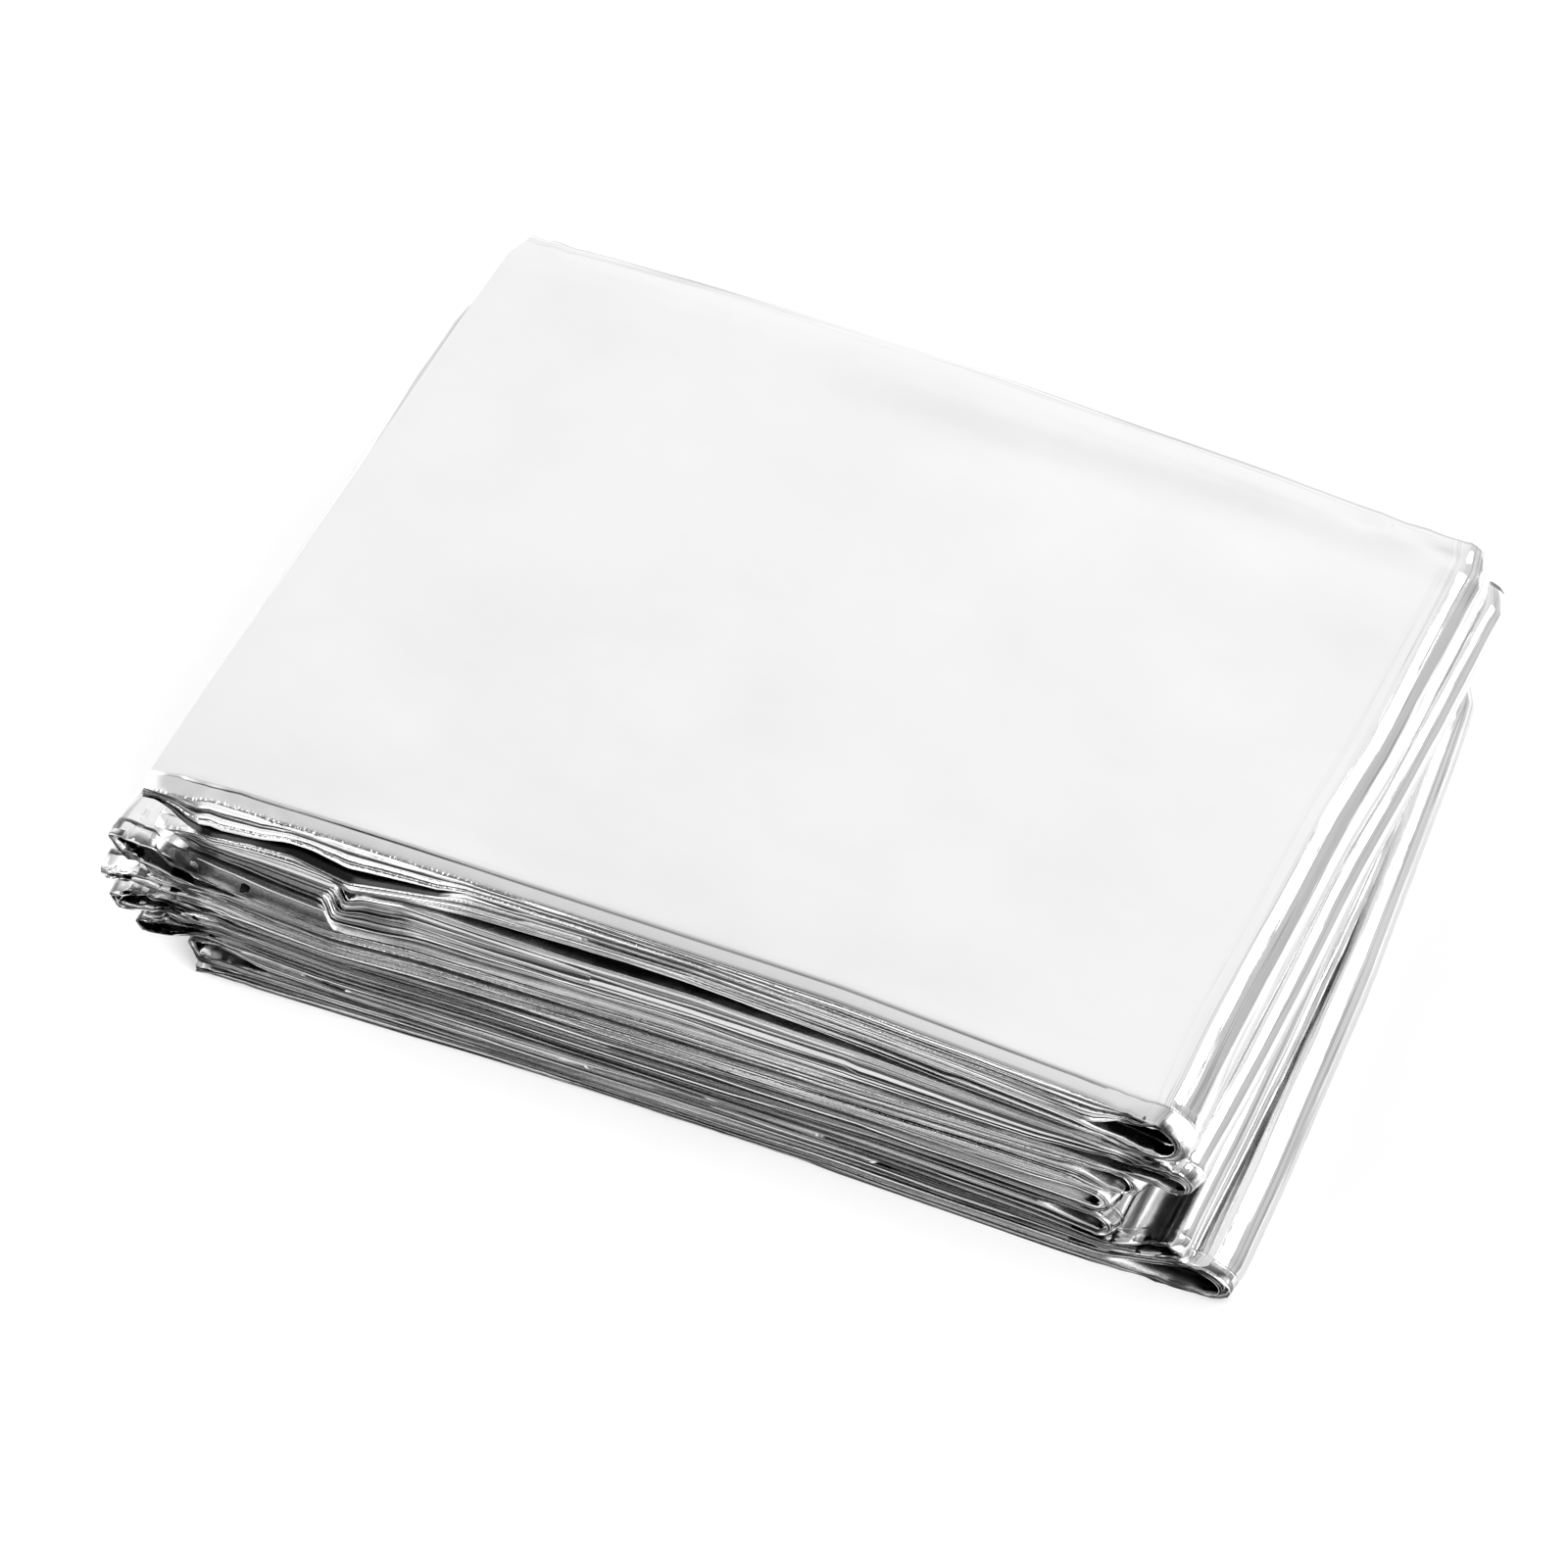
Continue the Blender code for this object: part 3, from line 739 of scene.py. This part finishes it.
def strip(first, last, cut_first, cut_last):
    """Grid of points for panels first to last. A panel that is cut is shared
    with the neighbouring piece, and the cut is halfway along it."""
    columns = []
    y0 = nominal_y(0)
    for k in range(first, last + 1):
        sign = 1.0 if k % 2 == 0 else -1.0
        if k == 0:
            start = fold_tip(0, y0)
        else:
            start, _ = fold_start(k - 1, y0)
        if k == PANELS - 1:
            stop = fold_tip(PANELS, y0)
        else:
            stop, _ = fold_start(k, y0)
        marks = RIGHTWARD if k % 2 == 0 else LEFTWARD
        if k == first and cut_first:
            marks = marks[len(marks) // 2:]
        elif k == last and cut_last:
            marks = marks[:len(marks) // 2 + 1]
        x = start[:, None] + (stop - start)[:, None] * marks[None, :]
        from_top = (LAYERS - 1 - 0.5 * (ROW_A + ROW_B)) if k % 2 else 0.5 * (ROW_A + ROW_B)
        gx, gy, gz, slot, crimp = panel_grid(k, x)
        gx, gy, gz = crush(k, gx, gy, gz, from_top)
        near = np.minimum(np.abs(x - start[:, None]) + 60.0 * (k == 0),
                          np.abs(x - stop[:, None]) + 60.0 * (k == PANELS - 1))
        columns.append((gx, gy, gz, slot, crimp, 1.0 - smooth(near / 2.0)))
        if k < last:
            s, bulge = fold_start(k, y0)
            x = s[:, None]
            ax, ay, az, slot, crimp = panel_grid(k, x)
            ax, ay, az = crush(k, ax, ay, az, from_top)
            bx, by, bz, _, _ = panel_grid(k + 1, x)
            other = (LAYERS - 1 - 0.5 * (ROW_A + ROW_B)) if (k + 1) % 2 else 0.5 * (ROW_A + ROW_B)
            bx, by, bz = crush(k + 1, bx, by, bz, other)
            share, out = ROLL[None, :, 0], ROLL[None, :, 1]
            if bulge < 0 and k > 0:           # a leaf shape at its front end
                leaf = smooth((-36.0 - ay) / 7.0)
                out = out + (ROLL_LEAF[None, :] - out) * leaf
            half = 0.5 * (az - bz)
            buried = (INNER & (ROW_PART > 0.05))[:, None]
            reach = FOLDS[k + 1][3] * half - 0.32 * buried
            gx = ax + (bx - ax) * share + bulge * reach * out
            gy = ay + (by - ay) * share
            gz = az + (bz - az) * share
            # a roll is never quite even round its section
            ring = 0.05 * noise2(share * 6.0, gy / 11.0, 20 + k)
            gx = gx + ring * out
            inward = 1.4 if bulge < 0 and k > 2 else 0.0
            # painted shade in patches at the front ends of the rolls
            near_end = smooth((-43.1 + inward - gy) / 1.2)
            spots = smooth(0.6 + 1.2 * noise2(share * 5.0 + k, gy / 0.8, 29))
            slot = np.maximum(slot, (0.80 + 0.50 * spots) * near_end)
            columns.append((gx, gy, gz, slot, crimp + 0.0 * gx,
                            1.0 + 0.0 * gx))
    x, y, z, slot, crimp, roll = (np.hstack([c[i] for c in columns])
                                  for i in range(6))
    return x, y, np.maximum(z, 0.02), slot, crimp, roll


ACROSS = {}


def film_mesh(name, first, last, cut_first, cut_last, along0):
    x, y, z, slot, crimp, roll = strip(first, last, cut_first, cut_last)
    rows, cols = x.shape
    points = np.stack([x, y, z], axis=-1).reshape(-1, 3) * MM
    i, j = np.meshgrid(np.arange(rows - 1), np.arange(cols - 1), indexing="ij")
    a = (i * cols + j).ravel()
    quads = np.stack([a, a + 1, a + cols + 1, a + cols], axis=1)
    mesh = bpy.data.meshes.new(name)
    mesh.vertices.add(len(points))
    mesh.vertices.foreach_set("co", points.astype(np.float32).ravel())
    mesh.loops.add(quads.size)
    mesh.loops.foreach_set("vertex_index", quads.astype(np.int32).ravel())
    mesh.polygons.add(len(quads))
    mesh.polygons.foreach_set(
        "loop_start", np.arange(0, quads.size, 4, dtype=np.int32))
    mesh.update(calc_edges=True)
    mesh.polygons.foreach_set("use_smooth", np.ones(len(quads), dtype=bool))
    # the sheet's own measure, in mm: along the strip and across it
    step = np.hypot(np.hypot(np.diff(x, axis=1), np.diff(y, axis=1)),
                    np.diff(z, axis=1)).mean(axis=0)
    u = along0 + np.concatenate([[0.0], np.cumsum(step)])
    step = np.sqrt(np.diff(x, axis=0) ** 2 + np.diff(y, axis=0) ** 2
                   + np.diff(z, axis=0) ** 2).mean(axis=1)
    v = np.concatenate([[0.0], np.cumsum(step)])
    v = ACROSS.setdefault("v", v)         # one measure for all the pieces
    uv = np.stack(np.meshgrid(u, v), axis=-1).reshape(-1, 2)
    layer = mesh.uv_layers.new(name="sheet_mm")
    layer.data.foreach_set("uv", uv[quads.ravel()].astype(np.float32).ravel())
    # where the film folds, its painted shade down in a slot or shut away, how
    # crimped it is
    side = np.repeat((ROW_SIDE != 0).astype(float)[:, None], cols, axis=1)
    for label, value in (("pleat", side), ("slot", slot), ("crimp", crimp),
                         ("roll", roll)):
        attr = mesh.attributes.new(label, "FLOAT", "POINT")
        attr.data.foreach_set("value", value.astype(np.float32).ravel())
    mesh.validate()
    obj = bpy.data.objects.new(name, mesh)
    bpy.context.scene.collection.objects.link(obj)
    return obj, u[-1], v[-1]


# =============================================================================
# material
# =============================================================================
def film_material():
    mat = bpy.data.materials.new("metallised_film")
    mat.use_nodes = True
    tree = mat.node_tree
    tree.nodes.clear()
    new, link = tree.nodes.new, tree.links.new
    out = new("ShaderNodeOutputMaterial")
    shader = new("ShaderNodeBsdfPrincipled")
    shader.inputs["Metallic"].default_value = 1.0
    link(shader.outputs["BSDF"], out.inputs["Surface"])
    place = new("ShaderNodeUVMap")
    place.uv_map = "sheet_mm"

    def attribute(name):
        node = new("ShaderNodeAttribute")
        node.attribute_name = name
        return node.outputs["Fac"]

    def rescale(value, low, high, a, b):
        node = new("ShaderNodeMapRange")
        for key, number in (("From Min", low), ("From Max", high),
                            ("To Min", a), ("To Max", b)):
            node.inputs[key].default_value = number
        link(value, node.inputs["Value"])
        return node.outputs["Result"]

    def noise(scale, detail, rough=0.5):
        node = new("ShaderNodeTexNoise")
        node.inputs["Scale"].default_value = scale
        node.inputs["Detail"].default_value = detail
        node.inputs["Roughness"].default_value = rough
        link(place.outputs["UV"], node.inputs["Vector"])
        return node.outputs["Fac"]

    def combine(kind, a, b):
        node = new("ShaderNodeMath")
        node.operation = kind
        link(a, node.inputs[0])
        link(b, node.inputs[1])
        return node.outputs["Value"]

    pleat = attribute("pleat")

    # colour: bright aluminium with slow cloudiness, with painted shade down in
    # the slots and near-black painted shade where film is shut away
    ramp = new("ShaderNodeValToRGB")
    ramp.color_ramp.elements[0].position = 0.25
    ramp.color_ramp.elements[0].color = (0.84, 0.84, 0.84, 1)
    ramp.color_ramp.elements[1].position = 0.75
    ramp.color_ramp.elements[1].color = (0.885, 0.885, 0.885, 1)
    link(noise(0.05, 3.0), ramp.inputs["Fac"])
    # painted shade: dark grey down in the slots
    dark = new("ShaderNodeMix")
    dark.data_type = "RGBA"
    dark.inputs["B"].default_value = (0.18, 0.18, 0.18, 1)
    link(rescale(attribute("slot"), 0.70, 1.0, 0.0, 1.0), dark.inputs["Factor"])
    link(ramp.outputs["Color"], dark.inputs["A"])
    # painted shade: near black where the film is shut away inside the stack
    shut = new("ShaderNodeMix")
    shut.data_type = "RGBA"
    shut.inputs["B"].default_value = (0.03, 0.03, 0.03, 1)
    link(rescale(attribute("slot"), 1.0, 1.6, 0.0, 1.0), shut.inputs["Factor"])
    # painted shade of creases: thin grey lines that follow the fold on the
    # rolls, and grey streaks along the pleats
    along = new("ShaderNodeMapping")
    along.inputs["Scale"].default_value = (1.1, 0.012, 1.0)
    link(place.outputs["UV"], along.inputs["Vector"])
    crease_shade_noise = new("ShaderNodeTexNoise")
    crease_shade_noise.inputs["Scale"].default_value = 1.0
    crease_shade_noise.inputs["Detail"].default_value = 2.0
    link(along.outputs["Vector"], crease_shade_noise.inputs["Vector"])
    middle = new("ShaderNodeMath")
    middle.operation = "SUBTRACT"
    middle.inputs[1].default_value = 0.5
    link(crease_shade_noise.outputs["Fac"], middle.inputs[0])
    off = new("ShaderNodeMath")
    off.operation = "ABSOLUTE"
    link(middle.outputs["Value"], off.inputs[0])
    pleated = new("ShaderNodeMapping")
    pleated.inputs["Scale"].default_value = (0.035, 2.4, 1.0)
    link(place.outputs["UV"], pleated.inputs["Vector"])
    streak = new("ShaderNodeTexNoise")
    streak.inputs["Scale"].default_value = 1.0
    streak.inputs["Detail"].default_value = 2.0
    link(pleated.outputs["Vector"], streak.inputs["Vector"])
    streaks = rescale(streak.outputs["Fac"], 0.36, 0.56, 0.75, 0.0)
    thin = rescale(off.outputs["Value"], 0.0, 0.030, 0.75, 0.0)
    broad = rescale(crease_shade_noise.outputs["Fac"], 0.38, 0.66, 0.30, 0.0)
    rolled = combine("MULTIPLY", attribute("roll"), combine("MAXIMUM", thin, broad))
    rolled = combine("MAXIMUM", rolled, combine("MULTIPLY", pleat, streaks))
    # painted shade of the creases, mixed into the colour
    crease_shade_mix = new("ShaderNodeMix")
    crease_shade_mix.data_type = "RGBA"
    crease_shade_mix.inputs["B"].default_value = (0.42, 0.42, 0.42, 1)
    link(rolled, crease_shade_mix.inputs["Factor"])
    link(dark.outputs["Result"], crease_shade_mix.inputs["A"])
    link(crease_shade_mix.outputs["Result"], shut.inputs["A"])
    link(shut.outputs["Result"], shader.inputs["Base Color"])

    # roughness: satin where the film lies flat, bright where it is folded
    satin = rescale(noise(0.35, 4.0), 0.3, 0.7, 0.13, 0.21)
    bright = combine("ADD", rescale(pleat, 0.0, 1.0, 0.0, 0.06),
                     rescale(attribute("roll"), 0.0, 1.0, 0.0, 0.07))
    link(combine("SUBTRACT", satin, bright), shader.inputs["Roughness"])

    # relief: fine crinkle all over, crimping on the pleats
    slow = new("ShaderNodeBump")
    slow.inputs["Distance"].default_value = 0.0002
    slow.inputs["Strength"].default_value = 0.25
    link(noise(0.16, 2.0), slow.inputs["Height"])
    fine = new("ShaderNodeBump")
    fine.inputs["Distance"].default_value = 0.00006
    link(rescale(pleat, 0.0, 1.0, 0.06, 0.22), fine.inputs["Strength"])
    link(noise(1.3, 5.0, 0.62), fine.inputs["Height"])
    link(slow.outputs["Normal"], fine.inputs["Normal"])
    # fine ridges that run along the rolls
    stretch = new("ShaderNodeMapping")
    stretch.inputs["Scale"].default_value = (1.6, 0.02, 1.0)
    link(place.outputs["UV"], stretch.inputs["Vector"])
    ridge = new("ShaderNodeTexNoise")
    ridge.inputs["Scale"].default_value = 1.0
    ridge.inputs["Detail"].default_value = 3.0
    link(stretch.outputs["Vector"], ridge.inputs["Vector"])
    lines = new("ShaderNodeBump")
    lines.inputs["Distance"].default_value = 0.0002
    link(rescale(attribute("roll"), 0.0, 1.0, 0.0, 0.30), lines.inputs["Strength"])
    link(ridge.outputs["Fac"], lines.inputs["Height"])
    link(fine.outputs["Normal"], lines.inputs["Normal"])
    crimp = new("ShaderNodeBump")
    crimp.inputs["Distance"].default_value = 0.00015
    link(attribute("crimp"), crimp.inputs["Strength"])
    link(noise(2.6, 1.0), crimp.inputs["Height"])
    link(lines.outputs["Normal"], crimp.inputs["Normal"])
    link(crimp.outputs["Normal"], shader.inputs["Normal"])
    return mat


def floor_material():
    mat = bpy.data.materials.new("pale_floor")
    mat.use_nodes = True
    shader = mat.node_tree.nodes["Principled BSDF"]
    shader.inputs["Base Color"].default_value = (0.96, 0.96, 0.96, 1)
    shader.inputs["Roughness"].default_value = 0.75
    shader.inputs["Specular IOR Level"].default_value = 0.2
    return mat


# =============================================================================
# camera, light, floor
# =============================================================================
def camera():
    data = bpy.data.cameras.new("camera")
    data.sensor_width = 36.0
    data.lens = 9000.0 / 1600.0 * 36.0
    data.clip_start, data.clip_end = 0.05, 20.0
    cam = bpy.data.objects.new("camera", data)
    e, a = math.radians(47.53), math.radians(24.08)
    forward = np.array([-math.sin(a) * math.cos(e),
                        math.cos(a) * math.cos(e), -math.sin(e)])
    right = np.array([math.cos(a), math.sin(a), 0.0])
    up = np.cross(right, forward)
    cam.location = (0.25209, -0.57684, 0.69481)
    from mathutils import Matrix
    cam.rotation_mode = "QUATERNION"
    cam.rotation_quaternion = Matrix(
        np.array([right, up, -forward]).T.tolist()).to_quaternion()
    bpy.context.scene.collection.objects.link(cam)
    bpy.context.scene.camera = cam


def studio():
    world = bpy.data.worlds.new("studio")
    bpy.context.scene.world = world
    world.use_nodes = True
    tree = world.node_tree
    tree.nodes.clear()
    new, link = tree.nodes.new, tree.links.new
    out = new("ShaderNodeOutputWorld")
    background = new("ShaderNodeBackground")
    link(background.outputs["Background"], out.inputs["Surface"])
    where = new("ShaderNodeTexCoord")

    def towards(direction, low, high, a, b):
        """a to b as the view direction turns towards the given one."""
        dot = new("ShaderNodeVectorMath")
        dot.operation = "DOT_PRODUCT"
        length = math.sqrt(sum(c * c for c in direction))
        dot.inputs[1].default_value = [c / length for c in direction]
        link(where.outputs["Generated"], dot.inputs[0])
        m = new("ShaderNodeMapRange")
        m.interpolation_type = "SMOOTHSTEP"
        m.inputs["From Min"].default_value = low
        m.inputs["From Max"].default_value = high
        m.inputs["To Min"].default_value = a
        m.inputs["To Max"].default_value = b
        link(dot.outputs["Value"], m.inputs["Value"])
        return m.outputs["Result"]

    def add(a, b):
        s = new("ShaderNodeMath")
        s.operation = "ADD"
        link(a, s.inputs[0])
        link(b, s.inputs[1])
        return s.outputs["Value"]

    # dark in front, bright all round the back, brightest at the back right
    back = towards((0.0, 1.0, 0.25), -0.20, 0.95, 0.06, 1.10)
    right = towards((0.75, 0.60, 0.30), 0.60, 0.97, 0.0, -0.26)
    high = towards((0.0, -0.35, 0.94), 0.70, 0.98, 0.0, 0.42)
    left = towards((-0.95, -0.15, 0.30), 0.66, 0.95, 0.0, 3.8)
    side = towards((0.85, -0.50, 0.30), 0.70, 0.95, 0.0, 4.4)
    link(add(add(add(back, right), high), add(left, side)),
         background.inputs["Strength"])
    background.inputs["Color"].default_value = (1, 1, 1, 1)

    lamp = bpy.data.lights.new("key", "AREA")
    lamp.shape = "DISK"
    lamp.size = 0.34
    lamp.energy = 1.3
    key = bpy.data.objects.new("key", lamp)
    key.location = (0.53, 0.71, 0.74)
    from mathutils import Vector
    key.rotation_mode = "QUATERNION"
    key.rotation_quaternion = (Vector((0, 0, 0.01)) - key.location).to_track_quat("-Z", "Y")
    key.visible_camera = False
    bpy.context.scene.collection.objects.link(key)

    size = 3.0
    mesh = bpy.data.meshes.new("floor")
    mesh.from_pydata([(-size, -size, 0), (size, -size, 0), (size, size, 0),
                      (-size, size, 0)], [], [(0, 1, 2, 3)])
    ground = bpy.data.objects.new("floor", mesh)
    ground.data.materials.append(floor_material())
    bpy.context.scene.collection.objects.link(ground)
    bpy.context.scene.view_settings.view_transform = "Standard"


# =============================================================================
# build
# =============================================================================
camera()
material = film_material()
along = 0.0
for name, first, last, cut_first, cut_last in (
        ("foil_film_1", 0, 2, False, True),
        ("foil_film_2", 2, 5, True, True),
        ("foil_film_3", 5, 8, True, True),
        ("foil_film_4", 8, 11, True, True),
        ("foil_film_5", 11, 13, True, False)):
    piece, end, across = film_mesh(name, first, last, cut_first, cut_last, along)
    piece.data.materials.append(material)
    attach(piece, "root")
    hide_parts("foil_blanket")
    along = end
studio()
